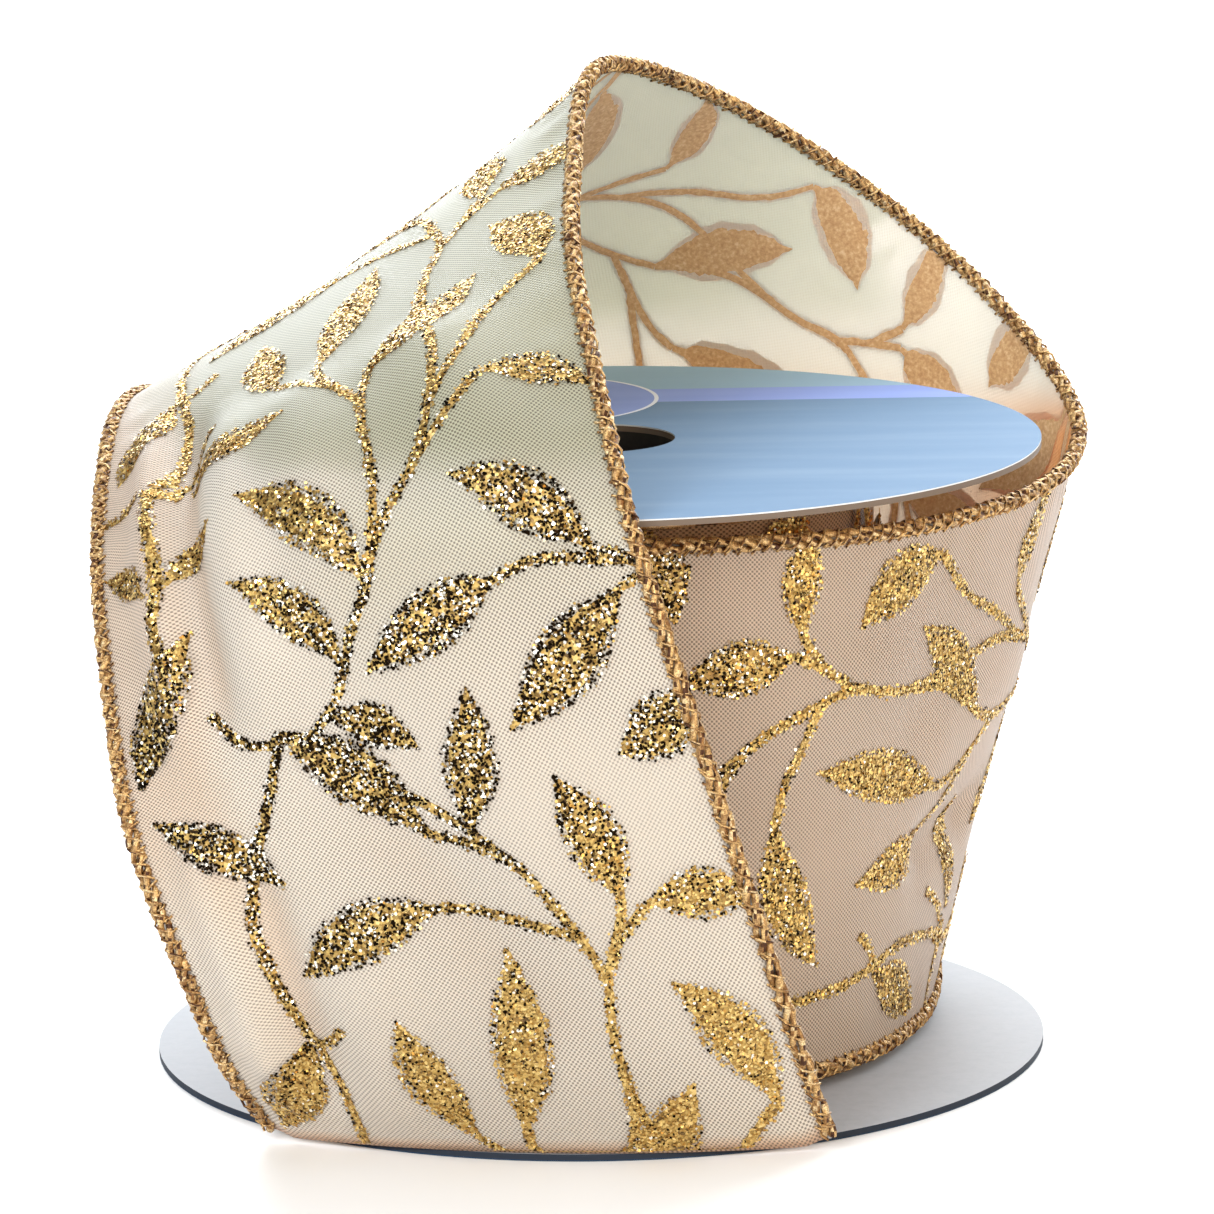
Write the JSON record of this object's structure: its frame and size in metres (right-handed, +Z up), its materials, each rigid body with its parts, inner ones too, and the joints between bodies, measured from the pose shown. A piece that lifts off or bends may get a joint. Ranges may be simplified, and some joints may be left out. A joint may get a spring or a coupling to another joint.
{
  "type": "ribbon spool",
  "caption": "Wired-edge gift ribbon wound on a card spool, its free length taken round the spool, over the top flange and down the front, turning about the spool's axis.",
  "frame": {"origin": "on the spool's axis at the underside of the bottom flange", "axes": "+Z up along the spindle hole; -Y towards the hanging end of the ribbon"},
  "size_m": [0.1131, 0.1141, 0.1112],
  "materials": {
    "grey_board": "matte",
    "navy_paper": "satin",
    "blue_paper": "satin",
    "tube_board": "matte",
    "hot_melt": "satin",
    "clear_tape": "gloss",
    "cream_satin": "satin",
    "gold_overlock": "metallic",
    "iron_wire": "satin"
  },
  "bodies": {
    "spool": {"bottom_flange_board": "grey_board", "bottom_flange_print": "navy_paper", "top_flange_board": "grey_board", "top_flange_print": "blue_paper", "core_tube": "tube_board", "bottom_glue_bead": "hot_melt", "top_glue_bead": "hot_melt", "ribbon_start_tape": "clear_tape", "roll_cloth": "cream_satin", "roll_lower_wired_edge": "gold_overlock", "roll_upper_wired_edge": "gold_overlock"},
    "loose_ribbon": {"loose_cloth": "cream_satin", "loose_lower_wire": "iron_wire", "loose_upper_wire": "iron_wire", "loose_lower_overlock": "gold_overlock", "loose_upper_overlock": "gold_overlock"}
  },
  "joints": [
    {"name": "ribbon_turn", "type": "hinge", "parent": "spool", "child": "loose_ribbon", "pos_m": [0, 0, 0], "axis": [0, 0, 1], "continuous": true}
  ]
}
